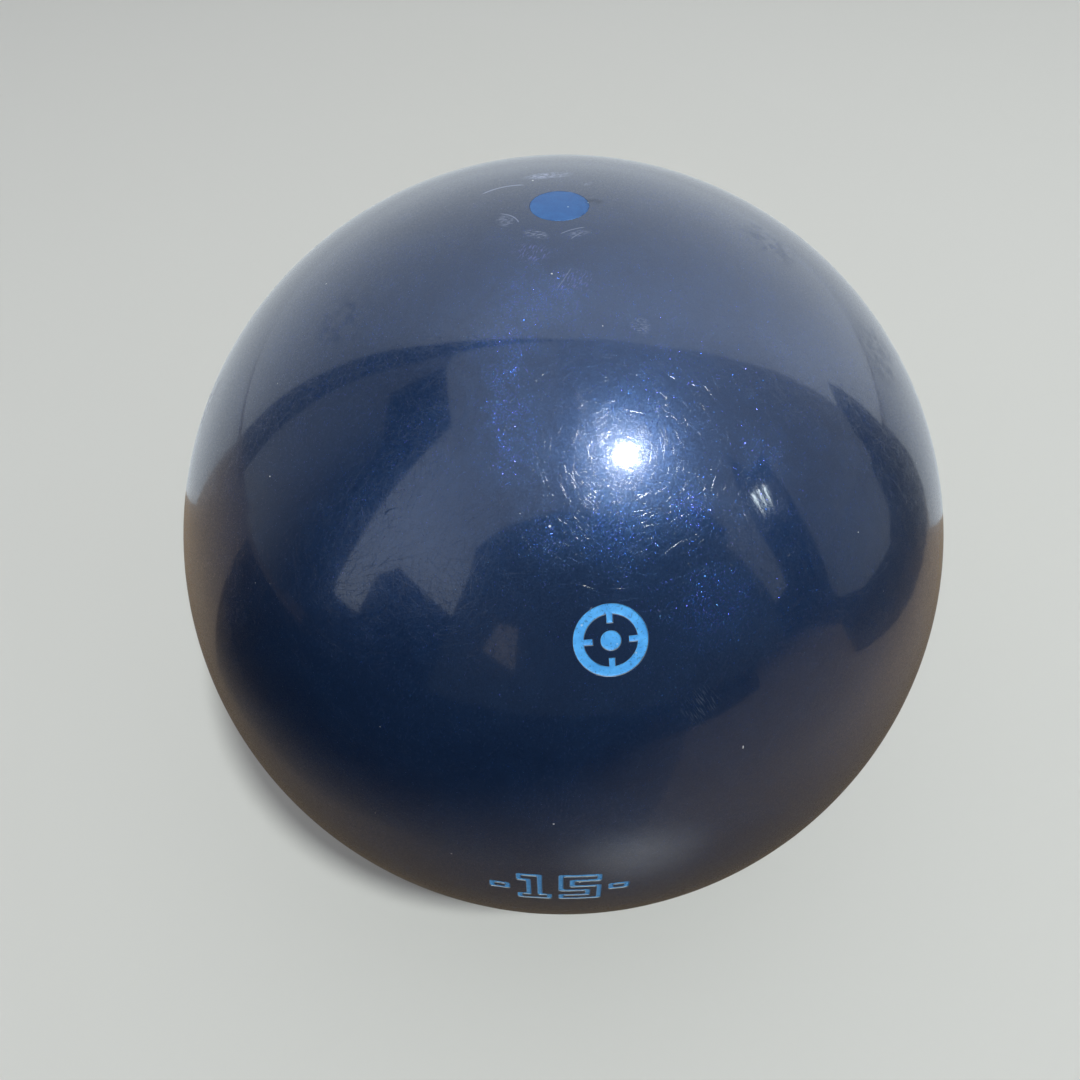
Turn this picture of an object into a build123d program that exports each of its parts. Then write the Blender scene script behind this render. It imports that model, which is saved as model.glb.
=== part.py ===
from build123d import *
from math import cos, radians, sin
import os

# A blank (undrilled) three-piece bowling ball, in millimetres.
# Origin at the ball's centre, +Z out through the pin, front (the weight number) towards -Y.

# ---- the ball and its layers ----
ball_d = 217.0              # within the regulation 215.9 to 218.3
cover_t = 22.0              # wall of the poured coverstock
ball_r = ball_d / 2
cover_inner_r = ball_r - cover_t

# ---- the pin: the plug over the dowel that held the weight block in its mould ----
pin_d = 12.7
pin_depth = 18.0            # of the plug's flat-bottomed hole, below the ball's surface
dowel_d = 9.5
dowel_socket = 15.0         # how deep the dowel stands in the weight block

# ---- the weight block, heights along the pin axis from the ball's centre ----
block_top = 58.0
block_bottom = -52.0
head_r = 31.0
head_z = 40.0               # where the domed head begins
neck_r = 27.5
neck_z = 24.0
belly_r = 46.0
belly_z = -8.0
foot_r = 36.0
block_round = 4.0           # rounding of the head's, belly's and foot's edges

# ---- the flange that makes the block asymmetric, long axis along X ----
flange_long_r = 64.0
flange_short_r = 40.0
flange_t = 30.0
flange_z = -6.0             # height of its middle
flange_round = 6.0
side_mass_x = 49.0          # beyond this plane the flange is the heavier pour

# ---- the denser nucleus, poured first, with its disc in the foot of the block ----
nucleus_disc_r = 26.0
nucleus_disc_t = 14.0
nucleus_stem_r = 15.0
nucleus_top = 22.0
nucleus_round = 3.0

# ---- engraved marks, filled with paint ----
groove_depth = 1.0
paint_drop = 0.25           # the paint's face lies this far below the ball's surface
prism_reach = 8.0           # each mark is cut by a prism this far in and out from its touching plane

# ---- centre-of-gravity mark: a ring with register ticks, and a dot ----
mark_polar = 51.0           # angle from the pin axis
mark_turn = 6.5             # angle round the pin axis, to the right of the front
ring_d = 14.0
ring_w = 1.9
tick_w = 1.1
tick_length = 1.7           # how far a tick reaches in from the ring
dot_d = 3.8

# ---- weight number: two outlined digits with a dash each side ----
number_polar = 87.5
digit_h = 14.5
one_w = 7.8
five_w = 9.6
digit_gap = 1.6             # clear space between neighbouring outlines
digit_stroke = 3.5          # width of the bars that a digit is built of
outline_w = 1.0
dash_length = 4.6
corner_r = 0.6


def surface_plane(polar, turn):
    """The plane that touches the ball there; its x runs to the right and its y towards the pin."""
    p, t = radians(polar), radians(turn)
    outward = Vector(sin(p) * sin(t), -sin(p) * cos(t), cos(p))
    return Plane(origin=outward * ball_r, x_dir=(cos(t), sin(t), 0), z_dir=outward)


def write(piece, label):
    piece.part.label = label
    export_step(piece.part, f"parts/{label}.step")


def shaft_along_pin(diameter, low, high):
    """A round bar on the pin axis between two heights, trimmed to the ball."""
    with BuildPart() as bar:
        with Locations((0, 0, low)):
            Cylinder(diameter / 2, high - low, align=(Align.CENTER, Align.CENTER, Align.MIN))
        Sphere(ball_r, mode=Mode.INTERSECT)
    return bar


def paint_fill(outline):
    """The paint in an engraved outline, following the ball, below its surface and above the floor."""
    with BuildPart() as fill:
        extrude(outline.sketch, amount=prism_reach, both=True)
        Sphere(ball_r - paint_drop, mode=Mode.INTERSECT)
        Sphere(ball_r - groove_depth, mode=Mode.SUBTRACT)
    return fill


def groove(outline):
    """The cut that holds the paint, open at the ball's surface."""
    with BuildPart() as cut:
        extrude(outline.sketch, amount=prism_reach, both=True)
        Sphere(ball_r - groove_depth, mode=Mode.SUBTRACT)
    return cut


def figure_of_bars(plane, bars, inset, rounding):
    """A figure built of bars given as (left, bottom, width, height), each drawn in by inset."""
    with BuildSketch(plane) as figure:
        for left, bottom, width, height in bars:
            with Locations((left + inset, bottom + inset)):
                Rectangle(width - 2 * inset, height - 2 * inset, align=Align.MIN)
        fillet(figure.vertices(), rounding)
    return figure


def outlined_bars(plane, bars):
    """The outline, outline_w wide, of a figure built of bars."""
    with BuildSketch(plane) as outlined:
        add(figure_of_bars(plane, bars, 0, outer_round).sketch)
        add(figure_of_bars(plane, bars, outline_w, inner_round).sketch, mode=Mode.SUBTRACT)
    return outlined


os.makedirs("parts", exist_ok=True)

# ---- weight block outline: a domed head, a neck, a wide belly and a flat foot ----
with BuildPart() as block_form:
    with BuildSketch(Plane.XZ) as block_profile:
        with BuildLine():
            dome = TangentArc((0, block_top), (head_r, head_z), tangent=(1, 0))
            neck = ThreePointArc(dome @ 1, (neck_r, neck_z), (belly_r, belly_z))
            Polyline(neck @ 1, (foot_r, block_bottom), (0, block_bottom), dome @ 0)
        make_face()
        fillet(block_profile.vertices().group_by(Axis.X)[1:], block_round)
    revolve(axis=Axis.Z)

with BuildPart() as flange_form:
    with BuildSketch(Plane.XY.offset(flange_z - flange_t / 2)):
        Ellipse(flange_long_r, flange_short_r)
    extrude(amount=flange_t)
    fillet(flange_form.edges(), flange_round)

# ---- core_nucleus: the densest pour, a stem on a disc that shows in the block's foot ----
with BuildPart() as core_nucleus:
    with Locations((0, 0, block_bottom)):
        Cylinder(nucleus_disc_r, nucleus_disc_t, align=(Align.CENTER, Align.CENTER, Align.MIN))
        Cylinder(
            nucleus_stem_r,
            nucleus_top - block_bottom,
            align=(Align.CENTER, Align.CENTER, Align.MIN),
        )
    fillet(core_nucleus.faces().sort_by(Axis.Z)[-1].edges(), nucleus_round)
write(core_nucleus, "core_nucleus")

# ---- core_dowel: held the block in its mould, from its socket up to the plug ----
core_dowel = shaft_along_pin(dowel_d, block_top - dowel_socket, ball_r - pin_depth)
write(core_dowel, "core_dowel")

# ---- pin_plug: the coloured plug, ground flush with the ball ----
pin_plug = shaft_along_pin(pin_d, ball_r - pin_depth, ball_r + pin_depth)
write(pin_plug, "pin_plug")

# ---- side_mass_left and side_mass_right: the heavier tips of the flange ----
right_split = Plane.YZ.offset(side_mass_x)
left_split = Plane.YZ.offset(-side_mass_x)
for label, tip_plane, tip_side in (
    ("side_mass_left", left_split, Keep.BOTTOM),
    ("side_mass_right", right_split, Keep.TOP),
):
    with BuildPart() as side_mass:
        add(flange_form.part)
        split(bisect_by=tip_plane, keep=tip_side)
    write(side_mass, label)

# ---- weight_block: cast round the nucleus, between the side masses ----
with BuildPart() as weight_block:
    add(block_form.part)
    add(flange_form.part)
    split(bisect_by=right_split, keep=Keep.BOTTOM)
    split(bisect_by=left_split, keep=Keep.TOP)
    add(core_nucleus.part, mode=Mode.SUBTRACT)
    add(core_dowel.part, mode=Mode.SUBTRACT)
write(weight_block, "weight_block")

# ---- outer_core: the light filler ball cast round the block, the side masses and the dowel ----
with BuildPart() as outer_core:
    Sphere(cover_inner_r)
    for cast_in in (block_form, flange_form, core_dowel, pin_plug):
        add(cast_in.part, mode=Mode.SUBTRACT)
write(outer_core, "outer_core")

# ---- outlines of the engraved marks ----
mark_plane = surface_plane(mark_polar, mark_turn)
with BuildSketch(mark_plane) as ring_outline:
    Circle(ring_d / 2)
    Circle(ring_d / 2 - ring_w, mode=Mode.SUBTRACT)
    with PolarLocations(ring_d / 2 - ring_w / 2, 4):
        Rectangle(ring_w / 2 + tick_length, tick_w, align=(Align.MAX, Align.CENTER))
with BuildSketch(mark_plane) as dot_outline:
    Circle(dot_d / 2)

number_plane = surface_plane(number_polar, 0)
number_w = one_w + digit_gap + five_w
five_opening = (digit_h - 3 * digit_stroke) / 2
outer_round = min(corner_r, five_opening / 3)
inner_round = min(corner_r, (digit_stroke - 2 * outline_w) / 3)
one_left = -number_w / 2
five_left = one_left + one_w + digit_gap
base = -digit_h / 2
stem_left = one_left + (one_w - digit_stroke) / 2
middle = (digit_h - digit_stroke) / 2
one_bars = (
    (stem_left, base, digit_stroke, digit_h),
    (one_left, base, one_w, digit_stroke),
    (one_left, base + digit_h - digit_stroke, (one_w + digit_stroke) / 2, digit_stroke),
)
five_bars = (
    (five_left, base, five_w, digit_stroke),
    (five_left, base + middle, five_w, digit_stroke),
    (five_left, base + digit_h - digit_stroke, five_w, digit_stroke),
    (five_left + five_w - digit_stroke, base, digit_stroke, middle + digit_stroke),
    (five_left, base + middle, digit_stroke, digit_h - middle),
)
left_dash = (one_left - digit_gap - dash_length, -digit_stroke / 2, dash_length, digit_stroke)
right_dash = (number_w / 2 + digit_gap, -digit_stroke / 2, dash_length, digit_stroke)

marks = {
    "centre_ring_paint": ring_outline,
    "centre_dot_paint": dot_outline,
    "numeral_one_paint": outlined_bars(number_plane, one_bars),
    "numeral_five_paint": outlined_bars(number_plane, five_bars),
    "left_dash_paint": outlined_bars(number_plane, [left_dash]),
    "right_dash_paint": outlined_bars(number_plane, [right_dash]),
}
for label, outline in marks.items():
    write(paint_fill(outline), label)

# ---- coverstock: the outer shell, with the plug's hole and the engraved grooves ----
grooves = [groove(outline) for outline in marks.values()]
with BuildPart() as coverstock:
    Sphere(ball_r)
    Sphere(cover_inner_r, mode=Mode.SUBTRACT)
    for cut in (core_dowel, pin_plug, *grooves):
        add(cut.part, mode=Mode.SUBTRACT)
write(coverstock, "coverstock")
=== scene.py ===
import math
import random

import bmesh
import bpy
from mathutils import Matrix, Vector


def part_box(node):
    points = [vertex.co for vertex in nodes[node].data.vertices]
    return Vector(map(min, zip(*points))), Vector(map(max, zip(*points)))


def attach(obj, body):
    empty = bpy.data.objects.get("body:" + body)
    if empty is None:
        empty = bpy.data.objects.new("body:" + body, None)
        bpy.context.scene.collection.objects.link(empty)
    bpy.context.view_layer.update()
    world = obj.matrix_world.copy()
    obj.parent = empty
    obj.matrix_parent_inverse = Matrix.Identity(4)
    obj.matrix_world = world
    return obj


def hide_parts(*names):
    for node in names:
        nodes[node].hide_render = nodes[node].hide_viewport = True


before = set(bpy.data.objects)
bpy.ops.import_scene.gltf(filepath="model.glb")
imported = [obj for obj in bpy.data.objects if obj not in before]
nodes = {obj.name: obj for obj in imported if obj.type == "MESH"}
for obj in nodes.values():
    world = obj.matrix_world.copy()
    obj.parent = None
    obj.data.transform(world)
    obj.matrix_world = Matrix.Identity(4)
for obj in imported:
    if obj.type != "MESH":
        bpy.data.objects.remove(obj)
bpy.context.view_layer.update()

# An undrilled bowling ball in polished navy pearl resin, in metres, in the frame of the packed
# model: origin at the ball's centre, +Z out through the pin plug, the weight number towards -Y.

MM = 0.001
BALL_R = -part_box("coverstock")[0].z  # at the foot, because the pin's hole takes the top
CORE_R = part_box("outer_core")[1].x
PIN_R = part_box("pin_plug")[1].x
PIN_FOOT_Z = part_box("pin_plug")[0].z
DOWEL_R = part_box("core_dowel")[1].x
PAINT_NODES = (
    "centre_ring_paint",
    "centre_dot_paint",
    "numeral_one_paint",
    "numeral_five_paint",
    "left_dash_paint",
    "right_dash_paint",
)
GROOVE_DEPTH = 1.0 * MM
PAINT_DROP = 0.25 * MM  # how far the fill paint lies below the ball's skin
RIM_ROUND = 0.16 * MM  # rounding of a groove's rim
SEAM = 0.07 * MM  # half the width of the fine line round the pin plug
OUTLINE_STEP = 0.45 * MM  # longest run between two points of a groove's outline
CUT_OVER = 2 * MM  # how far a cutter runs on past the skin that it cuts
COVER_CUTS = 84  # quads along an edge of the cube that becomes the cover
HOLLOW_CUTS = 30  # the same for the cover's hollow, which nobody sees
BORE_SIDES = 160  # of the pin plug and its hole


# ------------------------------------------------------------------ places on the ball

def outward(polar, turn):
    """The direction at polar degrees from the pin's axis and turn degrees right of the front."""
    p, t = math.radians(polar), math.radians(turn)
    return Vector((math.sin(p) * math.sin(t), -math.sin(p) * math.cos(t), math.cos(p)))


def touching_axes(normal):
    """Right, up (towards the pin) and outward where normal leaves the ball."""
    right = Vector((-normal.y, normal.x, 0)) if abs(normal.z) < 0.9999 else Vector((1, 0, 0))
    right.normalize()
    return right, normal.cross(right), normal


# ------------------------------------------------------------------ mesh helpers

def link_mesh(name, bm):
    mesh = bpy.data.meshes.new(name)
    bm.to_mesh(mesh)
    bm.free()
    made = bpy.data.objects.new(name, mesh)
    bpy.context.scene.collection.objects.link(made)
    return made


def on_ball(piece, node, material):
    """The piece rides on the ball and stands for that CAD node."""
    piece.data.materials.clear()
    piece.data.materials.append(material)
    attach(piece, "root")
    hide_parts(node)
    return piece


def cube_sphere(radius, cuts):
    """A ball of even quads: a cube's grid pushed out to the sphere."""
    bm = bmesh.new()
    bmesh.ops.create_cube(bm, size=2)
    bmesh.ops.subdivide_edges(bm, edges=bm.edges[:], cuts=cuts - 1, use_grid_fill=True)
    for v in bm.verts:
        v.co = Vector([math.tan(c * math.pi / 4) for c in v.co]).normalized() * radius
    return bm


def lathe(profile, sides):
    """A solid turned about the pin's axis, from (radius, height) points; a radius of 0 closes it."""
    bm = bmesh.new()
    rings = []
    for radius, height in profile:
        if radius == 0:
            rings.append([bm.verts.new((0, 0, height))])
            continue
        turns = [2 * math.pi * i / sides for i in range(sides)]
        ring = [(radius * math.cos(t), radius * math.sin(t), height) for t in turns]
        rings.append([bm.verts.new(corner) for corner in ring])
    for low, high in zip(rings, rings[1:]):
        for i in range(sides):
            j = (i + 1) % sides
            corners = []
            for v in (low[i % len(low)], low[j % len(low)], high[j % len(high)], high[i % len(high)]):
                if v not in corners:
                    corners.append(v)
            bm.faces.new(corners)
    bmesh.ops.recalc_face_normals(bm, faces=bm.faces)
    return bm


def area(loop):
    """The area inside a flat loop, negative when it runs clockwise."""
    return sum(a.x * b.y - b.x * a.y for a, b in zip(loop, loop[1:] + loop[:1])) / 2


def outlines(node, axes):
    """The closed outlines of a paint node's face in the touching plane: the outer one first,
    running anticlockwise, and then the inner ones, running clockwise."""
    bm = bmesh.new()
    bm.from_mesh(nodes[node].data)
    bmesh.ops.remove_doubles(bm, verts=bm.verts, dist=1e-6)
    face_r = max(v.co.length for v in bm.verts)
    low_limit = face_r - 0.3 * GROOVE_DEPTH
    top = {f for f in bm.faces if all(v.co.length > low_limit for v in f.verts)}
    # A dict keeps the edges in the mesh's order, so that every run gives the same loops.
    rim = dict.fromkeys(e for e in bm.edges if sum(f in top for f in e.link_faces) == 1)
    loops = []
    while rim:
        edge, _ = rim.popitem()
        start, here = edge.verts
        chain = [start]
        while here is not start:
            chain.append(here)
            edge = next(e for e in here.link_edges if e in rim)
            rim.pop(edge)
            here = edge.other_vert(here)
        loops.append([Vector((axes[0].dot(v.co), axes[1].dot(v.co))) for v in chain])
    bm.free()
    loops.sort(key=lambda loop: -abs(area(loop)))
    return [
        loop if (area(loop) > 0) == (i == 0) else loop[::-1]
        for i, loop in enumerate(loops)
    ]


def even(loop, step):
    """The loop without its near-double points and with its long runs divided."""
    kept = [p for i, p in enumerate(loop) if (p - loop[i - 1]).length > 0.03 * MM]
    out = []
    for a, b in zip(kept, kept[1:] + kept[:1]):
        n = max(1, math.ceil((b - a).length / step))
        out += [a.lerp(b, i / n) for i in range(n)]
    return out


def grown(loop, by):
    """The loop moved by that distance away from the stroke that it bounds."""
    out = []
    for i, p in enumerate(loop):
        a = (p - loop[i - 1]).normalized()
        b = (loop[(i + 1) % len(loop)] - p).normalized()
        side = Vector((a.y, -a.x))
        mid = (side + Vector((b.y, -b.x))).normalized()
        out.append(p + mid * by / max(0.6, mid.dot(side)))
    return out


def stroke_solid(loops, axes, profile):
    """A closed solid over an outline, from rings at (growth, radius from the ball's centre)."""
    bm = bmesh.new()
    right, up, out = axes
    levels = []
    for growth, radius in profile:
        level = []
        for loop in loops:
            ring = []
            for p in grown(loop, growth):
                height = math.sqrt(radius ** 2 - p.length_squared)
                ring.append(bm.verts.new(right * p.x + up * p.y + out * height))
            level.append(ring)
        levels.append(level)
    for lower, upper in zip(levels, levels[1:]):
        for low, high in zip(lower, upper):
            for i in range(len(low)):
                j = (i + 1) % len(low)
                bm.faces.new((low[i], low[j], high[j], high[i]))
    for level in (levels[0], levels[-1]):
        edges = []
        for ring in level:
            for i, v in enumerate(ring):
                w = ring[(i + 1) % len(ring)]
                edges.append(bm.edges.get((v, w)) or bm.edges.new((v, w)))
        bmesh.ops.triangle_fill(bm, edges=edges, use_beauty=True, normal=out)
    bmesh.ops.recalc_face_normals(bm, faces=bm.faces)
    return bm


def cut(piece, cutter):
    """Takes the cutter's solid out of the piece and removes the cutter."""
    tool = piece.modifiers.new("cut", "BOOLEAN")
    tool.operation = "DIFFERENCE"
    tool.solver = "EXACT"
    tool.object = cutter
    bpy.context.view_layer.update()
    evaluated = piece.evaluated_get(bpy.context.evaluated_depsgraph_get())
    mesh = bpy.data.meshes.new_from_object(evaluated)
    piece.modifiers.clear()
    old = piece.data
    piece.data = mesh
    bpy.data.meshes.remove(old)
    bpy.data.objects.remove(cutter)


def true_normals(piece, radii):
    """Smooth shading with the sphere's own normals where a face lies on one of these spheres."""
    mesh = piece.data
    mesh.polygons.foreach_set("use_smooth", [True] * len(mesh.polygons))
    normals = [None] * len(mesh.loops)
    for face in mesh.polygons:
        lengths = [mesh.vertices[v].co.length for v in face.vertices]
        on_sphere = any(all(abs(n - r) < 2e-3 * MM for n in lengths) for r in radii)
        for loop in face.loop_indices:
            co = mesh.vertices[mesh.loops[loop].vertex_index].co
            if on_sphere:
                normals[loop] = co.normalized() * (1 if face.normal.dot(co) > 0 else -1)
            else:
                normals[loop] = face.normal.copy()
    mesh.normals_split_custom_set(normals)


# ------------------------------------------------------------------ node helpers

class Web:
    """Builds a material's nodes. Each method adds a node and gives its output socket."""

    def __init__(self, name):
        self.material = bpy.data.materials.new(name)
        self.material.use_nodes = True
        self.tree = self.material.node_tree
        self.tree.nodes.clear()

    def node(self, kind, inputs=(), **settings):
        made = self.tree.nodes.new(kind)
        for key, value in settings.items():
            setattr(made, key, value)
        for key, value in dict(inputs).items():
            socket = made.inputs[key]
            if isinstance(value, bpy.types.NodeSocket):
                self.tree.links.new(value, socket)
            else:
                socket.default_value = value
        return made

    def math(self, operation, *values, clamp=False):
        inputs = dict(enumerate(values))
        return self.node("ShaderNodeMath", inputs, operation=operation, use_clamp=clamp).outputs[0]

    def add(self, *values):
        total = values[0]
        for v in values[1:]:
            total = self.math("ADD", total, v)
        return total

    def times(self, *values):
        total = values[0]
        for v in values[1:]:
            total = self.math("MULTIPLY", total, v)
        return total

    def largest(self, *values):
        total = values[0]
        for v in values[1:]:
            total = self.math("MAXIMUM", total, v)
        return total

    def vector(self, operation, a, b=None, scale=None):
        inputs = {0: a}
        if b is not None:
            inputs[1] = b
        if scale is not None:
            inputs["Scale"] = scale
        made = self.node("ShaderNodeVectorMath", inputs, operation=operation)
        gives_number = operation in ("DOT_PRODUCT", "LENGTH", "DISTANCE")
        return made.outputs["Value" if gives_number else "Vector"]

    def step(self, value, low, high, to_low=0.0, to_high=1.0):
        """A smooth rise from to_low at low to to_high at high."""
        made = self.node(
            "ShaderNodeMapRange",
            {
                "Value": value,
                "From Min": low,
                "From Max": high,
                "To Min": to_low,
                "To Max": to_high,
            },
            interpolation_type="SMOOTHSTEP",
        )
        return made.outputs["Result"]

    def place(self):
        return self.node("ShaderNodeTexCoord").outputs["Object"]

    def noise(self, place, size, detail=3.0, rough=0.5, warp=0.0, shift=0.0):
        """Noise from 0 to 1 with features of about that size in metres."""
        inputs = {
            "Vector": self.vector("ADD", place, (shift, shift * 0.7, -shift)) if shift else place,
            "Scale": 1 / size,
            "Detail": detail,
            "Roughness": rough,
            "Distortion": warp,
        }
        return self.node("ShaderNodeTexNoise", inputs).outputs["Fac"]

    def cells(self, place, size):
        """Random cells of about that size: the node, for its Distance and its random Color."""
        return self.node("ShaderNodeTexVoronoi", {"Vector": place, "Scale": 1 / size})

    def chances(self, cells):
        """Three random values from 0 to 1, the same all over a cell."""
        return self.node("ShaderNodeSeparateColor", {0: cells.outputs["Color"]}).outputs

    def parts(self, vector):
        return self.node("ShaderNodeSeparateXYZ", {0: vector}).outputs

    def joined(self, *parts):
        return self.node("ShaderNodeCombineXYZ", dict(enumerate(parts))).outputs[0]

    def mix(self, amount, a, b, blend="MIX"):
        made = self.node("ShaderNodeMix", data_type="RGBA", blend_type=blend, clamp_factor=True)
        for socket, value in zip((made.inputs[0], made.inputs[6], made.inputs[7]), (amount, a, b)):
            if isinstance(value, bpy.types.NodeSocket):
                self.tree.links.new(value, socket)
            else:
                socket.default_value = value if isinstance(value, (int, float)) else (*value, 1)
        return made.outputs[2]

    def bump(self, height, distance, strength=1.0, normal=None):
        inputs = {"Height": height, "Distance": distance, "Strength": strength}
        if normal is not None:
            inputs["Normal"] = normal
        return self.node("ShaderNodeBump", inputs).outputs[0]

    def spot(self, place, polar, turn):
        """How far right of, above and away from the place at polar and turn, in millimetres."""
        right, up, out = touching_axes(outward(polar, turn))
        across = self.times(self.vector("DOT_PRODUCT", place, tuple(right)), 1 / MM)
        along = self.times(self.vector("DOT_PRODUCT", place, tuple(up)), 1 / MM)
        away = self.times(self.vector("DISTANCE", place, tuple(out * BALL_R)), 1 / MM)
        return across, along, away

    def finish(self, **inputs):
        """Joins the surface: each keyword is a Principled input with its spaces as underscores."""
        named = {key.replace("_", " "): value for key, value in inputs.items()}
        shader = self.node("ShaderNodeBsdfPrincipled", named)
        return self.surface(shader)

    def surface(self, shader):
        out = self.node("ShaderNodeOutputMaterial")
        self.tree.links.new(shader.outputs[0], out.inputs[0])
        return self.material


def hairlines(web, place, layers, spacing, width, tilt, share, seed):
    """How the normal leans across hairline scratches. In each layer the skin is parted in patches
    a few millimetres wide, and every patch has its own three directions of lines. That share of the
    lines is there, each with its own strength."""
    rng = random.Random(seed)
    total = (0.0, 0.0, 0.0)
    for _ in range(layers):
        shift = [rng.uniform(-0.5, 0.5) for _ in range(3)]
        moved = web.vector("ADD", place, shift)
        colour = web.cells(moved, rng.uniform(2.5, 5) * MM).outputs["Color"]
        sides = web.parts(web.vector("SUBTRACT", colour, (0.5, 0.5, 0.5)))
        wander = web.noise(moved, rng.uniform(14, 26) * MM, 1.0)
        for turn in range(3):
            axis = web.vector("NORMALIZE", web.joined(*(sides[(i + turn) % 3] for i in range(3))))
            height = web.times(web.vector("DOT_PRODUCT", place, axis), 1 / spacing)
            height = web.add(height, web.times(wander, rng.uniform(2, 5)), rng.uniform(0, 50))
            line = {"W": web.math("FLOOR", height)}
            chance = web.node("ShaderNodeTexWhiteNoise", line, noise_dimensions="1D")
            where, present, strength = web.parts(chance.outputs["Color"])
            centre = web.add(0.2, web.times(where, 0.6))
            offset = web.math("SUBTRACT", web.math("FRACT", height), centre)
            offset = web.times(offset, spacing / width)
            inside = web.step(web.math("ABSOLUTE", offset), 0.5, 1.0, 1.0, 0.0)
            on = web.math("LESS_THAN", present, share)
            lean = web.times(offset, inside, on, strength, tilt)
            total = web.vector("ADD", total, web.vector("SCALE", axis, scale=lean))
    return total


def leans(web, colour):
    """A lean in any direction from a random colour, unlike its red, green and blue."""
    mixed = web.vector("FRACTION", web.vector("SCALE", colour, scale=7.0))
    return web.vector("SUBTRACT", mixed, (0.5, 0.5, 0.5))


def specks(web, place, size, share, radius, shift):
    """Round specks, 1 inside and 0 outside: that share of the cells of that size holds one, from
    0.4 to 1.4 times the radius."""
    moved = web.vector("ADD", place, (shift, shift, shift))
    cell = web.cells(moved, size)
    chance = web.chances(cell)
    reach = web.times(radius / size, web.add(0.4, chance[1]))
    disc = web.math("LESS_THAN", cell.outputs["Distance"], reach)
    return web.times(disc, web.math("LESS_THAN", chance[0], share))


# ------------------------------------------------------------------ colours and marks

# Linear red, green and blue.
DEEP_NAVY = (0.007, 0.024, 0.074)
PEARLY_NAVY = (0.013, 0.040, 0.110)
GRAIN_NAVY = (0.018, 0.050, 0.145)
BLOOM_VIOLET = (0.090, 0.110, 0.340)
FLAKE_VIOLET = (0.055, 0.064, 0.40)
FLAKE_BLUE = (0.022, 0.088, 0.43)
FLAKE_CYAN = (0.06, 0.19, 0.42)
RUB_COLOUR = (0.46, 0.50, 0.68)
SCUFF_COLOUR = (0.17, 0.22, 0.32)
# A painted shadow beside the pin.
PIN_SIDE_SHADOW_COLOUR = (0.004, 0.008, 0.020)
# A painted highlight on the grooves' rims.
RIM_HIGHLIGHT_COLOUR = (0.40, 0.44, 0.42)
DUST_COLOUR = (0.70, 0.72, 0.74)
PIN_DARK = (0.008, 0.084, 0.285)
PIN_LIGHT = (0.012, 0.106, 0.330)
PIN_GRAIN = (0.03, 0.17, 0.44)
PIN_EDGE = (0.12, 0.24, 0.44)
# Painted shade on the plug's right side.
PLUG_SHADE = (0.012, 0.040, 0.130)
PIN_DUST = (0.45, 0.62, 0.74)
PAINT_DARK = (0.055, 0.335, 0.780)
PAINT_LIGHT = (0.085, 0.430, 0.900)
PAINT_THIN = (0.010, 0.075, 0.230)
# Painted shade for the paint low on the ball.
PAINT_SHADE_LOW = (0.040, 0.130, 0.260)
PAINT_CHIP = (0.42, 0.62, 0.80)

# Marks on the cover. Every place is its polar and its turn in degrees, as in outward, and every
# size is in millimetres.
# Brushed rubs: place, half width, half height, weight.
RUBS = (
    (8.5, -171.0, 6.6, 2.6, 1.3),
    (6.6, 149.0, 0.9, 1.9, 0.8),
    (6.6, -66.0, 2.8, 2.2, 0.45),
    (6.2, -24.0, 3.6, 1.6, 0.5),
    (6.0, 20.0, 3.4, 1.2, 0.36),
    (20.2, 24.6, 2.4, 2.4, 0.18),
    (150.0, 60.0, 16.0, 9.0, 0.8),
    (105.0, -150.0, 14.0, 8.0, 0.7),
    (70.0, 115.0, 12.0, 9.0, 0.6),
)
# Scratches: place of each end, bow, half width, weight.
SCRATCHES = (
    ((10.2, -115.0), (6.8, -145.0), 1.3, 0.30, 1.0),
    ((6.9, -81.0), (5.6, -52.5), 0.9, 0.22, 0.6),
    ((5.8, 0.5), (5.3, 32.7), 0.3, 0.18, 0.5),
    ((6.8, 10.5), (6.0, 26.1), 0.2, 0.18, 0.4),
    ((11.2, 6.7), (14.2, -1.1), 0.1, 0.16, 0.22),
    ((95.0, 40.0), (103.0, 58.0), 2.0, 0.22, 0.6),
    ((72.0, -142.0), (80.0, -128.0), -1.5, 0.20, 0.6),
)
# Finger smudges: place, reach.
SMUDGES = (
    (28.0, -63.0, 9.0),
    (26.0, 94.0, 10.0),
    (43.5, 80.0, 12.0),
    (54.0, -83.0, 10.0),
    (80.0, 160.0, 16.0),
    (120.0, 20.0, 14.0),
)
# The brushed scuff's place, and the painted shadow beside the pin: place, half width, half height.
SCUFF = (59.7, 16.8)
PIN_SIDE_SHADOW = (3.9, 104.0, 1.6, 3.2)
# Where the pearl runs thick: place, reach.
VEINS = (
    (15.0, -8.0, 12.0),
    (22.0, -14.0, 11.0),
    (28.0, -12.0, 11.0),
    (33.0, -9.0, 10.0),
    (40.0, -3.0, 8.0),
    (40.0, 8.0, 10.0),
    (39.0, 21.0, 8.0),
    (37.5, 36.5, 9.0),
    (49.5, 20.5, 12.0),
    (100.0, -120.0, 30.0),
    (120.0, 80.0, 30.0),
)
# Violet blooms of pearl: place, half width, half height, weight.
BLOOMS = ((9.2, -19.0, 5.0, 3.4, 1.0), (13.2, 6.0, 5.5, 4.0, 0.7))


# ------------------------------------------------------------------ materials

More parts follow.
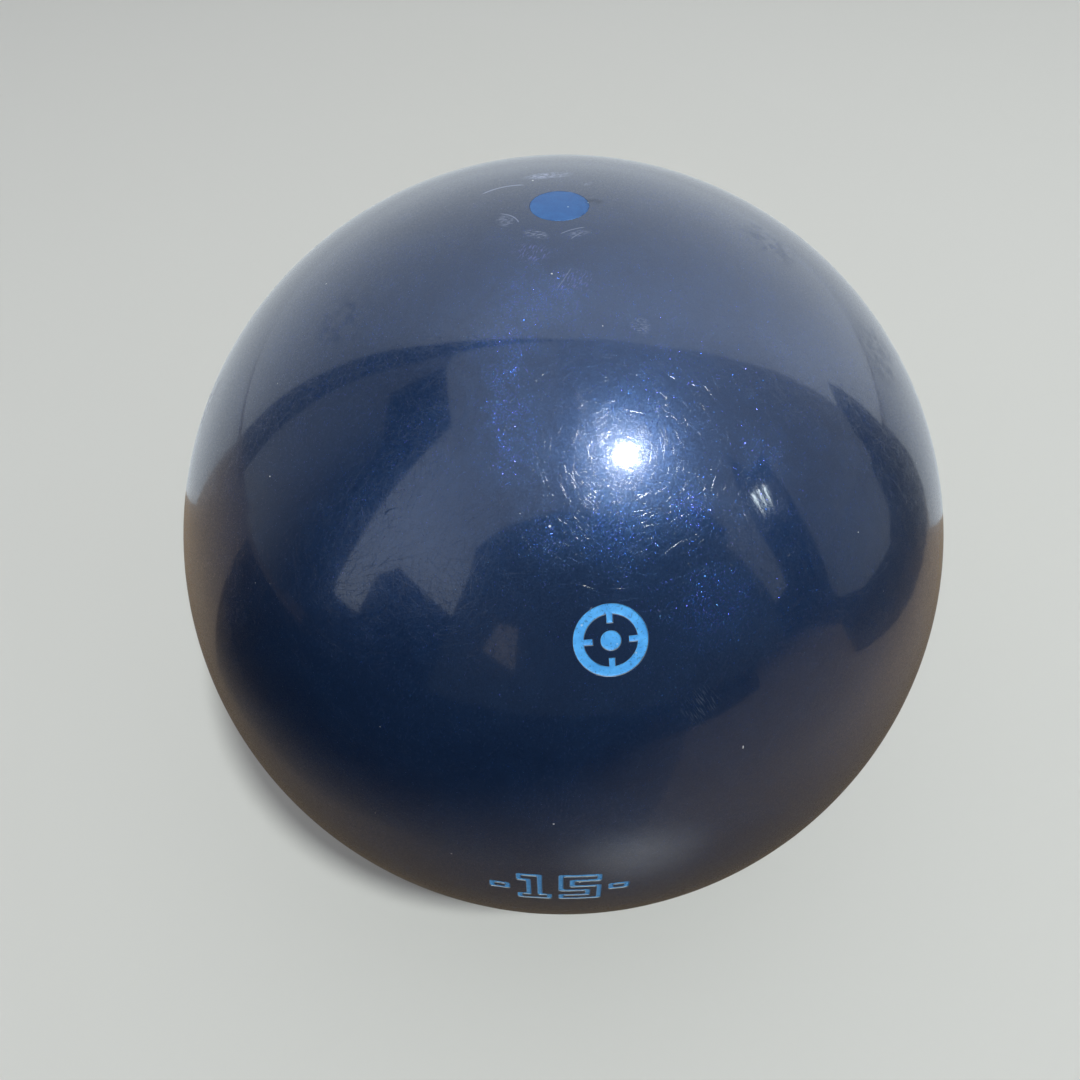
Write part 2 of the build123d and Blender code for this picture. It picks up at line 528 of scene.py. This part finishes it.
def pearl_material():
    """Deep navy resin with pearl flakes under a polished skin, with the marks of use and dust, a
    painted shadow beside the pin and painted highlights on the groove rims.
    """
    web = Web("navy_pearl_resin")
    place = web.place()
    normal = web.node("ShaderNodeNewGeometry").outputs["Normal"]

    clouds = web.noise(place, 34 * MM, 3.0, 0.55, 1.2)
    veins = web.noise(place, 11 * MM, 3.0, 0.6, 2.2, shift=0.31)
    pearl = web.add(
        web.times(web.step(clouds, 0.35, 0.68), 0.40),
        web.times(web.step(veins, 0.4, 0.7), 0.25),
    )
    for polar, turn, reach in VEINS:
        near = web.step(web.spot(place, polar, turn)[2], 0.0, reach, 1.0, 0.0)
        pearl = web.add(pearl, web.times(near, web.step(veins, 0.25, 0.60, 0.35, 1.0)))

    # Every grain of the resin leans a little. Those that are flakes lean far, in their own colours.
    grains = web.cells(place, 0.20 * MM)
    tint = web.chances(grains)
    is_flake = web.times(
        web.math("LESS_THAN", tint[0], web.add(0.015, web.times(pearl, pearl, 0.36))),
        web.step(grains.outputs["Distance"], 0.30, 0.48, 1.0, 0.0),
    )
    resin = web.mix(pearl, DEEP_NAVY, PEARLY_NAVY)
    resin = web.mix(web.times(tint[0], 0.30), resin, GRAIN_NAVY)
    resin = web.mix(web.times(pearl_bloom(web, place), 0.80), resin, BLOOM_VIOLET)
    flake_colour = web.mix(web.step(tint[1], 0.35, 0.65), FLAKE_VIOLET, FLAKE_BLUE)
    flake_colour = web.mix(web.step(tint[2], 0.95, 0.98), flake_colour, FLAKE_CYAN)
    colour = web.mix(web.times(is_flake, 0.90), resin, flake_colour)

    how_far = web.add(0.12, web.times(is_flake, 0.62))
    lean = web.vector("SCALE", leans(web, grains.outputs["Color"]), scale=how_far)
    lines = hairlines(
        web, place, layers=6, spacing=1.0 * MM, width=0.030 * MM, tilt=0.62, share=0.45, seed=4
    )
    base_normal = web.vector("ADD", web.vector("ADD", normal, lean), lines)
    base_normal = web.vector("NORMALIZE", base_normal)

    # The skin over it has the same hairlines, a haze finer than a pixel, and a faint ripple.
    much_finer = {"Vector": web.vector("SCALE", place, scale=1e4)}
    grit = web.node("ShaderNodeTexWhiteNoise", much_finer, noise_dimensions="3D")
    haze = web.times(web.step(grit.outputs["Value"], 0.76, 1.0), 0.20)
    hazy = web.vector("SCALE", leans(web, grit.outputs["Color"]), scale=haze)
    skin = web.vector("NORMALIZE", web.vector("ADD", web.vector("ADD", normal, hazy), lines))
    ripple = web.noise(place, 5 * MM, 2.0)
    skin = web.bump(ripple, 0.010 * MM, 0.35, skin)

    rubs = web.largest(rub_marks(web, place), scratches(web, place))
    # The grooves' rims: a painted highlight where they catch the light.
    rim = groove_rim_highlights(web, place)
    # A painted shadow beside the pin, blotched by the ripple.
    pin_side_shadow = web.times(patch(web, place, *PIN_SIDE_SHADOW), web.step(ripple, 0.35, 0.55))
    scuff = scuff_patch(web, place)
    lint_place = web.vector("MULTIPLY", place, (1.0, 0.55, 0.30))
    dust = web.largest(
        specks(web, place, 9 * MM, 0.34, 0.20 * MM, 0.4),
        specks(web, place, 4 * MM, 0.16, 0.13 * MM, 0.9),
        specks(web, lint_place, 7 * MM, 0.16, 0.16 * MM, 1.7),
    )
    for mark, cover, mark_colour in (
        (rubs, 0.60, RUB_COLOUR),
        (scuff, 0.40, SCUFF_COLOUR),
        (pin_side_shadow, 0.35, PIN_SIDE_SHADOW_COLOUR),
        (rim, 0.55, RIM_HIGHLIGHT_COLOUR),
        (dust, 0.85, DUST_COLOUR),
    ):
        colour = web.mix(web.times(mark, cover), colour, mark_colour)

    rough = web.add(
        0.29,
        web.times(tint[1], 0.06),
        web.times(is_flake, -0.06),
        web.times(rubs, 0.15),
        web.times(rim, 0.2),
        web.times(dust, 0.3),
    )
    shiny = web.add(0.62, web.times(is_flake, 0.30))
    metal = web.math("SUBTRACT", shiny, web.times(dust, 0.8), clamp=True)
    dulled = web.add(
        web.times(smudge_film(web, place), 0.35),
        web.times(rubs, 0.20),
        web.times(scuff, 0.25),
        web.times(rim, 0.8),
        web.times(pin_side_shadow, 0.30),
        web.times(dust, 0.9),
    )
    return web.finish(
        Base_Color=colour,
        Metallic=metal,
        Roughness=rough,
        Specular_IOR_Level=0.2,
        Normal=base_normal,
        Coat_Weight=web.math("SUBTRACT", 1.0, dulled, clamp=True),
        Coat_Roughness=0.06,
        Coat_IOR=1.5,
        Coat_Normal=skin,
    )


def patch(web, place, polar, turn, wide, high):
    """A soft oval on the ball, from 0 to 1, by its half width and half height in millimetres."""
    across, along, away = web.spot(place, polar, turn)
    oval = web.joined(web.times(across, 1 / wide), web.times(along, 1 / high))
    inside = web.step(web.vector("LENGTH", oval), 0.45, 1.0, 1.0, 0.0)
    this_side = web.math("LESS_THAN", away, 60.0)
    return web.times(inside, this_side)


def strongest(web, place, patches):
    """The strongest of some patches at each place, each times its own weight."""
    total = 0.0
    for polar, turn, wide, high, weight in patches:
        total = web.largest(total, web.times(patch(web, place, polar, turn, wide, high), weight))
    return total


def groove_rim_highlights(web, place):
    """The rounded rims of the grooves, a little below the skin, painted pale as a highlight where
    they catch the light, and made matte; the pin's seam has none.
    """
    z = web.parts(place)[2]
    depth = web.times(web.math("SUBTRACT", BALL_R, web.vector("LENGTH", place)), 1 / MM)
    begins = web.step(depth, 0.012, 0.03)
    ends = web.step(depth, 0.18, 0.30, 1.0, 0.0)
    return web.times(begins, ends, web.math("LESS_THAN", z, 0.9 * BALL_R))


def smudge_film(web, place):
    """Where fingers have left a thin film, from 0 to 1."""
    near = 0.0
    for polar, turn, reach in SMUDGES:
        away = web.spot(place, polar, turn)[2]
        near = web.largest(near, web.step(away, reach * 0.4, reach, 1.0, 0.0))
    film = web.noise(place, 2.6 * MM, 4.0, 0.6, 0.8, shift=0.5)
    return web.times(near, web.step(film, 0.42, 0.60))


def pearl_bloom(web, place):
    """Streaky violet blooms of pearl in front of the pin, drawn out down to the left."""
    x, y, _ = web.parts(place)
    drawn = web.joined(
        web.add(web.times(x, 2300.0), web.times(y, -1100.0)),
        web.add(web.times(x, 300.0), web.times(y, 600.0)),
    )
    streaks = web.noise(drawn, 1.0, 3.0, 0.65)
    return web.times(strongest(web, place, BLOOMS), web.step(streaks, 0.50, 0.68))


def rub_marks(web, place):
    """Whitish brushed rubs where the ball has been handled or a tool has slipped round the pin."""
    brushed = web.vector("MULTIPLY", place, (800.0, 2900.0, 2900.0))
    brush = web.noise(brushed, 1.0, 4.0, 0.7, 0.5)
    return web.times(strongest(web, place, RUBS), web.step(brush, 0.46, 0.60))


def scratches(web, place):
    """Single curved scratches, each from one place on the ball to another, thinning at its ends."""
    total = 0.0
    for start, end, bow, width, weight in SCRATCHES:
        a, b = outward(*start) * BALL_R, outward(*end) * BALL_R
        middle, half = (a + b) / 2, (b - a).length / 2
        along = (b - a).normalized()
        aside = middle.normalized().cross(along)
        offset = web.vector("SUBTRACT", place, tuple(middle))
        run = web.times(web.vector("DOT_PRODUCT", offset, tuple(along)), 1 / half)
        bend = web.math("SUBTRACT", 1.0, web.times(run, run))
        sideways = web.vector("DOT_PRODUCT", offset, tuple(aside))
        miss = web.math("SUBTRACT", sideways, web.times(bend, bow * MM))
        thin = web.times(web.math("ABSOLUTE", miss), 1 / (width * MM))
        line = web.times(web.step(thin, 0.3, 1.0, 1.0, 0.0), web.step(bend, 0.0, 0.5))
        near = web.math("LESS_THAN", web.vector("LENGTH", offset), 1.3 * half)
        total = web.largest(total, web.times(line, near, weight))
    return total


def scuff_patch(web, place):
    """A small brushed scuff below the centre mark, its streaks running down to the right."""
    across, along, away = web.spot(place, *SCUFF)
    edge = web.add(away, web.times(web.noise(place, 3 * MM, 3.0), 3.0))
    streak_across = web.add(web.times(across, 0.91), web.times(along, 0.42))
    streak_along = web.add(web.times(across, 0.42), web.times(along, -0.91))
    stretched = web.joined(web.times(streak_across, 3.2), web.times(streak_along, 0.35))
    lines = web.noise(stretched, 1.0, 3.0)
    return web.times(web.step(edge, 3.5, 6.5, 1.0, 0.0), web.step(lines, 0.50, 0.70))


def pin_material():
    """Blue cast plug, polished with the ball, with a pale rub at its seam and painted shade on its
    right side, darker and less glossy.
    """
    web = Web("pin_plug_resin")
    place = web.place()
    cloud = web.noise(place, 3.2 * MM, 4.0, 0.6, 0.8)
    tint = web.chances(web.cells(place, 0.22 * MM))
    colour = web.mix(web.step(cloud, 0.35, 0.68), PIN_DARK, PIN_LIGHT)
    colour = web.mix(web.times(tint[0], 0.20), colour, PIN_GRAIN)
    x, y, _ = web.parts(place)
    from_axis = web.times(web.math("SQRT", web.add(web.times(x, x), web.times(y, y))), 1 / MM)
    edge = web.step(from_axis, PIN_R / MM - 0.9, PIN_R / MM - 0.1)
    wear = web.noise(place, 1.6 * MM, 4.0, 0.6)
    colour = web.mix(web.times(edge, web.step(wear, 0.40, 0.65), 0.12), colour, PIN_EDGE)
    # Painted shade on the plug's right side, strongest at the seam and blotched by the wear noise.
    plug_shade = web.times(web.step(x, 0.35 * PIN_R, PIN_R), web.step(wear, 0.35, 0.7))
    colour = web.mix(web.times(plug_shade, 0.55), colour, PLUG_SHADE)
    dots = specks(web, place, 2.2 * MM, 0.45, 0.18 * MM, 0.3)
    colour = web.mix(web.times(dots, 0.8), colour, PIN_DUST)
    normal = web.node("ShaderNodeNewGeometry").outputs["Normal"]
    lines = hairlines(
        web, place, layers=1, spacing=0.8 * MM, width=0.06 * MM, tilt=0.35, share=0.6, seed=31
    )
    skin = web.vector("ADD", normal, lines)
    return web.finish(
        Base_Color=colour,
        Metallic=0.1,
        Specular_IOR_Level=0.3,
        Roughness=web.add(0.34, web.times(tint[1], 0.12), web.times(edge, 0.08)),
        Normal=web.bump(cloud, 0.02 * MM, 0.3),
        Coat_Weight=web.math("SUBTRACT", 0.26, web.times(plug_shade, 0.20), clamp=True),
        Coat_Roughness=0.10,
        Coat_IOR=1.5,
        Coat_Normal=web.vector("NORMALIZE", skin),
    )


def paint_material():
    """Bright blue fill paint, satin, a little uneven, with small dark specks where it is thin, and
    with painted shade on the number, low on the ball."""
    web = Web("mark_paint")
    place = web.place()
    tone = web.noise(place, 1.8 * MM, 4.0, 0.6)
    colour = web.mix(web.step(tone, 0.35, 0.7), PAINT_DARK, PAINT_LIGHT)
    thin = web.step(web.noise(place, 0.7 * MM, 4.0, 0.70, 0.8, shift=0.3), 0.54, 0.66)
    pits = specks(web, place, 0.8 * MM, 0.45, 0.15 * MM, 0.2)
    colour = web.mix(web.times(web.largest(thin, pits), 0.60), colour, PAINT_THIN)
    z = web.parts(place)[2]
    # Painted shade: the paint is darker low on the ball, where less light falls.
    shaded_low = web.step(z, 0.2 * BALL_R, 0.6 * BALL_R, 1.0, 0.0)
    colour = web.mix(web.times(shaded_low, 0.42), colour, PAINT_SHADE_LOW)
    chips = specks(web, place, 1.7 * MM, 0.20, 0.22 * MM, 0.7)
    colour = web.mix(web.times(chips, 0.7), colour, PAINT_CHIP)
    height = web.add(web.times(tone, 0.7), web.times(pits, -0.6))
    return web.finish(
        Base_Color=colour,
        Roughness=web.add(0.38, web.times(tone, 0.25)),
        Normal=web.bump(height, 0.05 * MM, 0.6),
        Coat_Weight=0.0,
    )


def cast_material(name, dark, light, grain_size, rough, pits):
    """A cast resin of the inside: two tones, a fine mineral grain and small round voids with painted
    shade in them.
    """
    web = Web(name)
    place = web.place()
    cloud = web.noise(place, 20 * MM, 4.0, 0.6, 0.8)
    tint = web.chances(web.cells(place, grain_size))
    colour = web.mix(web.step(cloud, 0.32, 0.70), dark, light)
    sparkle = tuple(min(1, c * 1.5 + 0.02) for c in light)
    colour = web.mix(web.times(tint[0], 0.22), colour, sparkle)
    shaded_voids = specks(web, place, 3.0 * MM, pits, 0.35 * MM, 0.6)
    # The voids are painted in a darker copy of the resin, as shade in them.
    colour = web.mix(web.times(shaded_voids, 0.6), colour, tuple(c * 0.35 for c in dark))
    height = web.math("SUBTRACT", web.times(tint[1], 0.4), web.times(shaded_voids, 1.0))
    return web.finish(
        Base_Color=colour,
        Roughness=web.add(rough, web.times(tint[2], 0.12)),
        Normal=web.bump(height, 0.08 * MM, 0.6),
    )


# ------------------------------------------------------------------ the ball's pieces

def groove_cutter(node, axes):
    """The groove round a paint node: straight walls, and a small rounded rim at the ball's skin."""
    loops = [even(loop, OUTLINE_STEP) for loop in outlines(node, axes)]
    rim_depth, rim_width = 1.2 * RIM_ROUND, 1.1 * RIM_ROUND
    profile = [(0.0, BALL_R - GROOVE_DEPTH), (0.0, BALL_R - rim_depth)]
    for share in (1 / 3, 2 / 3):
        turn = math.pi / 2 * share
        growth = RIM_ROUND * (1 - math.cos(turn))
        profile.append((growth, BALL_R - rim_depth * (1 - math.sin(turn))))
    profile.append((rim_width, BALL_R + 0.2 * RIM_ROUND))
    profile.append((rim_width, BALL_R + 0.6 * MM))
    return link_mesh("cutter", stroke_solid(loops, axes, profile))


def mark_axes(node):
    """The touching axes of the mark that this paint node belongs to, at the mark's middle."""
    of_centre_mark = node.startswith("centre")
    about = ("centre_dot_paint",) if of_centre_mark else ("left_dash_paint", "right_dash_paint")
    corners = [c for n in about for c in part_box(n)]
    middle = sum(corners, Vector()) / len(corners)
    return touching_axes(middle.normalized())


def make_cover(material):
    """The cover with its hollow, the grooves, the pin's stepped hole and the fine seam round it."""
    cover = link_mesh("cover", cube_sphere(BALL_R, COVER_CUTS))
    for node in PAINT_NODES:
        cut(cover, groove_cutter(node, mark_axes(node)))
    seam_z = math.sqrt(BALL_R ** 2 - (PIN_R + SEAM) ** 2)
    profile = [
        (0, CORE_R - 3 * CUT_OVER),
        (DOWEL_R, CORE_R - 3 * CUT_OVER),
        (DOWEL_R, PIN_FOOT_Z),
        (PIN_R, PIN_FOOT_Z),
        (PIN_R, seam_z - SEAM),
        (PIN_R + SEAM, seam_z + 0.02 * MM),
        (PIN_R + SEAM, BALL_R + CUT_OVER),
        (0, BALL_R + CUT_OVER),
    ]
    cut(cover, link_mesh("cutter", lathe(profile, BORE_SIDES)))
    cut(cover, link_mesh("cutter", cube_sphere(CORE_R, HOLLOW_CUTS)))
    true_normals(cover, (BALL_R, CORE_R))
    return on_ball(cover, "coverstock", material)


def make_plug(material):
    """The pin plug: its face follows the ball and ends in a fine bevel at the seam."""
    rings = 20
    profile = [(0, PIN_FOOT_Z), (PIN_R, PIN_FOOT_Z)]
    profile.append((PIN_R, math.sqrt(BALL_R ** 2 - PIN_R ** 2) - SEAM))
    for i in range(rings):
        radius = (PIN_R - SEAM) * (1 - i / rings)
        profile.append((radius, math.sqrt(BALL_R ** 2 - radius ** 2)))
    profile.append((0, BALL_R))
    plug = link_mesh("plug", lathe(profile, BORE_SIDES))
    true_normals(plug, (BALL_R,))
    return on_ball(plug, "pin_plug", material)


def make_paint(node, material):
    """Paint in its groove: it climbs the walls a little and dips along the middle of the stroke."""
    axes = mark_axes(node)
    loops = [even(loop, OUTLINE_STEP) for loop in outlines(node, axes)]
    face = BALL_R - PAINT_DROP
    profile = [
        (0.0, BALL_R - GROOVE_DEPTH),
        (0.0, face),
        (-0.09 * MM, face - 0.07 * MM),
        (-0.22 * MM, face - 0.12 * MM),
        (-0.40 * MM, face - 0.14 * MM),
    ]
    paint = link_mesh(node.replace("_paint", "_fill"), stroke_solid(loops, axes, profile))
    return on_ball(paint, node, material)


def dress_inside():
    """The sealed pieces keep their CAD solids and get cast-resin surfaces."""
    cream, pale_cream = (0.66, 0.63, 0.55), (0.78, 0.75, 0.68)
    red, light_red = (0.22, 0.035, 0.028), (0.34, 0.065, 0.045)
    black, off_black = (0.018, 0.018, 0.022), (0.036, 0.036, 0.042)
    slate, light_slate = (0.040, 0.040, 0.050), (0.070, 0.070, 0.085)
    straw, light_straw = (0.66, 0.63, 0.53), (0.76, 0.73, 0.64)
    side = cast_material("side_mass_resin", slate, light_slate, 0.35 * MM, 0.5, 0.2)
    worn = {
        "outer_core": cast_material("filler_resin", cream, pale_cream, 0.30 * MM, 0.62, 0.5),
        "weight_block": cast_material("weight_block_resin", red, light_red, 0.45 * MM, 0.55, 0.3),
        "core_nucleus": cast_material("nucleus_resin", black, off_black, 0.35 * MM, 0.5, 0.2),
        "side_mass_left": side,
        "side_mass_right": side,
        "core_dowel": cast_material("dowel_resin", straw, light_straw, 0.18 * MM, 0.42, 0.1),
    }
    for name, material in worn.items():
        nodes[name].data.materials.clear()
        nodes[name].data.materials.append(material)


# ------------------------------------------------------------------ stage

LAMP = (0.29, -0.312, 0.905)  # towards the lamp
COOL = (0.90, 0.98, 1.04)  # daylight on white walls
ROOM = 3.5  # from the ball to each wall of the room that it reflects, and to its ceiling
MAT_Z = -BALL_R + 2 * MM  # a glow that lies on the floor


def floor_material(pale, mirrored):
    """A pale sheet, which polished surfaces show in a warmer and darker tone, with a painted shadow
    round the ball's foot.
    """
    web = Web("floor")
    tone = web.noise(web.place(), 0.25, 2.0)
    colour = web.mix(web.times(tone, 0.06), pale, (0.5, 0.48, 0.45))
    seen = web.node("ShaderNodeLightPath").outputs["Is Glossy Ray"]
    away = web.vector("DISTANCE", web.place(), (0, 0, 0))
    # A painted shadow round the ball's foot, which only reflections show.
    under = tuple(c * 0.30 for c in mirrored)
    shown = web.mix(web.step(away, 1.1 * BALL_R, 3.0 * BALL_R), under, mirrored)
    return web.finish(
        Base_Color=web.mix(seen, colour, shown),
        Roughness=0.7,
        Specular_IOR_Level=0.1,
    )


def glow_material(name, colour, low, high, along, start, end):
    """A glow that goes from low to high between two distances along a direction."""
    web = Web(name)
    strength = low
    if low != high:
        rise = web.step(web.vector("DOT_PRODUCT", web.place(), along), start, end)
        strength = web.add(low, web.times(rise, high - low))
    light = web.node("ShaderNodeEmission", {"Color": (*colour, 1), "Strength": strength})
    return web.surface(light)


def disc_material(name, middle, radius, colour, peak, fall):
    """A clear sheet with a glow that falls from its peak at the middle to nothing at the radius."""
    web = Web(name)
    gone = web.times(web.vector("DISTANCE", web.place(), tuple(middle)), 1 / radius)
    left = web.math("SUBTRACT", 1.0, gone, clamp=True)
    strength = web.times(web.math("POWER", left, fall), peak)
    light = web.node("ShaderNodeEmission", {"Color": (*colour, 1), "Strength": strength})
    clear = web.node("ShaderNodeBsdfTransparent")
    both = web.node("ShaderNodeAddShader", {0: light.outputs[0], 1: clear.outputs[0]})
    return web.surface(both)


def glowing_sheet(name, corners, material):
    """A flat sheet that only polished surfaces show."""
    bm = bmesh.new()
    bm.faces.new([bm.verts.new(c) for c in corners])
    bm.normal_update()
    bmesh.ops.triangulate(bm, faces=bm.faces)
    sheet = link_mesh(name, bm)
    sheet.data.materials.append(material)
    sheet.visible_camera = False
    sheet.visible_diffuse = False
    sheet.visible_shadow = False
    sheet.visible_transmission = False


def card(name, corners, colour, low, high=None, along=(0, 0, 1), start=0.0, end=1.0):
    """A glowing sheet, even or going from low to high between two distances along a direction."""
    high = low if high is None else high
    glowing_sheet(name, corners, glow_material(name, colour, low, high, along, start, end))


def glow_disc(name, centre, facing, radius, colour, peak, fall):
    """A round glow that falls off to nothing at its rim and hides nothing behind it."""
    middle = Vector(centre)
    across, up, _ = touching_axes(Vector(facing).normalized())
    turns = [2 * math.pi * i / 48 for i in range(48)]
    rim = [middle + (across * math.cos(t) + up * math.sin(t)) * radius for t in turns]
    glowing_sheet(name, rim, disc_material(name, middle, radius, colour, peak, fall))


def on_back_wall(points):
    return [(x * ROOM, ROOM, z * ROOM) for x, z in points]


def on_ceiling(points):
    return [(x * ROOM, y * ROOM, ROOM) for x, y in points]


def on_left_wall(points):
    return [(-ROOM, y * ROOM, z * ROOM) for y, z in points]


def on_front_wall(points, nearness=1.0):
    return [(x * ROOM, -nearness * ROOM, z * ROOM) for x, z in points]


def on_floor(points):
    return [(x, y, MAT_Z) for x, y in points]


def make_floor():
    pale, mirrored = (0.66, 0.645, 0.61), (0.37, 0.275, 0.19)
    bm = bmesh.new()
    bmesh.ops.create_grid(bm, x_segments=1, y_segments=1, size=12)
    floor = link_mesh("floor", bm)
    floor.location.z = -BALL_R
    floor.data.materials.append(floor_material(pale, mirrored))


def make_world():
    """A pale backdrop, which polished surfaces show as a dim room."""
    backdrop, dim_room = (0.42, 0.43, 0.45, 1), (0.030, 0.040, 0.065, 1)
    world = bpy.data.worlds.new("studio")
    bpy.context.scene.world = world
    world.use_nodes = True
    back = world.node_tree.nodes["Background"]
    path = world.node_tree.nodes.new("ShaderNodeLightPath")
    shade = world.node_tree.nodes.new("ShaderNodeMix")
    shade.data_type = "RGBA"
    shade.inputs[6].default_value = backdrop
    shade.inputs[7].default_value = dim_room
    world.node_tree.links.new(path.outputs["Is Glossy Ray"], shade.inputs[0])
    world.node_tree.links.new(shade.outputs[2], back.inputs[0])


def make_lamp():
    data = bpy.data.lights.new("key", "AREA")
    data.shape = "DISK"
    data.size = 0.27
    data.energy = 60.0
    data.color = (0.93, 1.0, 1.0)
    lamp = bpy.data.objects.new("key", data)
    lamp.location = Vector(LAMP).normalized() * 3.0
    lamp.rotation_euler = (-lamp.location).to_track_quat("-Z", "Y").to_euler()
    bpy.context.scene.collection.objects.link(lamp)


def make_walls_and_ceiling():
    """The parts of the room that the ball shows above its middle. Points are shares of ROOM:
    (across, up) on a wall and (across, back) on the ceiling."""
    wall = (
        (-2.35, -0.1), (-2.25, 1.3), (-1.79, 2.88), (-1.1, 3.83), (0, 4.44), (1.78, 3.84),
        (2.44, 2.47), (2.71, 1.18), (2.79, 0.81), (2.19, 0.76), (2.16, -0.1),
    )
    card("wall_card", on_back_wall(wall), COOL, 0.80, 1.80, (0.6, 0, 1), 0, 2.9 * ROOM)
    # The window's patch on the left, with the shape of a person in front of it cut out of its edge.
    left = (
        (0, 0.2), (-0.47, 0.22), (-0.52, 0.16), (-0.52, -0.16), (-0.82, -0.33), (-1.97, -0.94),
        (-4.34, -2.11), (-5.21, -2.67), (-4.49, -3.13), (-2.0, -1.43), (-1.48, -1.24),
        (-1.2, -2.04), (-0.69, -1.26), (-0.56, -0.97), (-0.31, -0.78), (0, -0.68),
    )
    start, end = 0.3 * ROOM, 1.0 * ROOM
    card("ceiling_left_card", on_ceiling(left), COOL, 1.12, 1.50, (-1, 0, 0), start, end)
    right = (
        (0, 0.2), (0, -0.68), (0.45, -0.72), (0.9, -0.62), (1.25, -0.79), (1.69, -1.37),
        (1.91, -2.16), (5.0, -3.6), (4.41, -2.14), (2.67, -1.25), (1.77, -0.81), (1.27, -0.52),
        (0.96, -0.23), (1.26, -0.31), (1.33, -0.14), (1.76, -0.29), (2.91, -0.63), (6.5, -1.59),
        (18.0, -4.6), (18.0, 5.0), (5.45, 1.66), (3.4, 1.26), (2.28, 0.84), (0.98, 0.39),
        (0.46, 0.25),
    )
    start, end = 0.3 * ROOM, 1.5 * ROOM
    card("ceiling_right_card", on_ceiling(right), COOL, 0.84, 0.56, (0.6, 1, 0), start, end)
    band = (
        (-3.7, -0.1), (-3.67, 0.4), (-3.23, 1.87), (-2.74, 3.44), (-2.07, 4.34), (-3.05, 5.84),
        (-5.83, 6.38), (-8.78, 4.88), (-9.98, -0.1),
    )
    card("band_card", on_back_wall(band), COOL, 0.45)
    doorway = ((-0.37, 0.33), (-0.30, 0.49), (-0.20, 0.46), (-0.20, 0.23))
    card("doorway_card", on_front_wall(doorway), (1.0, 0.95, 0.88), 0.8)
    veil = ((-0.65, 0.03), (1.7, 0.0), (1.7, 0.5), (1.3, 1.45), (-0.45, 1.45))
    card("front_card", on_front_wall(veil, 1.02), (0.72, 0.88, 1.0), 0.18)


def make_side_cards():
    """A pale thing close by on the right, as (back, up) in metres, and the left wall, as (back, up)
    in shares of ROOM."""
    side = (
        (0.071, 0.06), (0.054, 0.008), (0.006, -0.034), (-0.113, -0.016), (-0.201, 0.033),
        (-0.216, 0.068), (-0.198, 0.153), (0.1, 0.15),
    )
    card("side_card", [(0.6, y, z) for y, z in side], COOL, 0.48)
    left_wall = (
        (0.10, -0.09), (0.10, 0.57), (0.16, 1.11), (-0.15, 0.95), (-0.35, 0.40), (-0.25, -0.09),
    )
    start, end = -0.30 * ROOM, 0.10 * ROOM
    card("left_wall_card", on_left_wall(left_wall), COOL, 0.04, 0.42, (0, 1, 0), start, end)


def make_tubes():
    """Three light tubes side by side on the ceiling, each tapering as it goes away."""
    for i in range(3):
        x, y = 1.38 + 0.05 * i, -0.47 + 0.045 * i
        tube = ((x, y), (x + 0.37, y - 0.18), (x + 0.01, y + 0.020))
        card("tube_card", on_ceiling(tube), (0.85, 1.0, 1.06), 40.0)


def make_halo():
    """The soft glow round the lamp's highlight."""
    lamp = Vector(LAMP).normalized()
    glow_disc("halo_card", lamp * 3.2, lamp, 1.1, (0.92, 1.0, 0.92), 8.0, 3.4)


def make_mats():
    """What the ball shows below its middle, near its foot, in metres."""
    flag = [(x, -0.9, z) for x, z in ((-2.2, -BALL_R), (1.0, -BALL_R), (1.0, 0.05), (-2.2, 0.05))]
    card("front_flag", flag, COOL, 0.03)
    # The floor in front lies in shade: this dim sheet there is a painted shadow that only polished
    # surfaces show, darkest towards the front left.
    front = (
        (-2.2, 0.08), (-0.22, -0.02), (-0.12, -0.17), (0.04, -0.20), (0.5, -0.9), (-2.2, -0.9),
    )
    wood, rises = (1.0, 0.85, 0.68), (0.83, 0.55, 0)
    card("front_floor_shadow", on_floor(front), wood, 0.012, 0.22, rises, -0.34, -0.08)
    glint = (0.056, -0.208, MAT_Z + MM)
    glow_disc("low_glow_card", glint, (0, 0, 1), 0.065, (0.95, 1.0, 0.96), 0.62, 1.3)
    back = (
        (-0.36, 0.13), (0.36, 0.10), (0.452, 0.167), (0.634, 0.271), (3.4, 1.62), (3.4, 3.4),
        (-3.4, 3.4), (-3.4, 1.42),
    )
    card("back_mat", on_floor(back), COOL, 0.66)
    beside = (
        (0.375, 0.005), (0.385, 0.107), (0.452, 0.167), (0.634, 0.271), (9.0, 4.3),
        (9.0, -4.5), (1.147, -0.376), (0.503, -0.172), (0.412, -0.064),
    )
    card("side_mat", on_floor(beside), COOL, 0.07)


def make_stage():
    make_floor()
    make_world()
    make_lamp()
    make_walls_and_ceiling()
    make_side_cards()
    make_tubes()
    make_halo()
    make_mats()


def make_camera():
    elevation, half_view = math.radians(49.5), math.radians(25.1)
    data = bpy.data.cameras.new("camera")
    data.sensor_width = 36
    data.lens = 27.03
    data.clip_start = 0.01
    camera = bpy.data.objects.new("camera", data)
    bpy.context.scene.collection.objects.link(camera)
    back = Vector((0, -math.cos(elevation), math.sin(elevation)))
    # From here the ball's outline is half_view from its middle.
    camera.location = back * (BALL_R / math.sin(half_view))
    aim = (-back).to_track_quat("-Z", "Y").to_matrix()
    # The ball stands a little right of and above the middle of the frame.
    right = Matrix.Rotation(math.radians(1.36), 3, "Y")
    above = Matrix.Rotation(math.radians(-0.32), 3, "X")
    camera.rotation_euler = (aim @ right @ above).to_euler()
    bpy.context.scene.camera = camera


make_cover(pearl_material())
make_plug(pin_material())
fill = paint_material()
for node in PAINT_NODES:
    make_paint(node, fill)
dress_inside()
make_stage()
make_camera()

bpy.context.scene.view_settings.view_transform = "Standard"
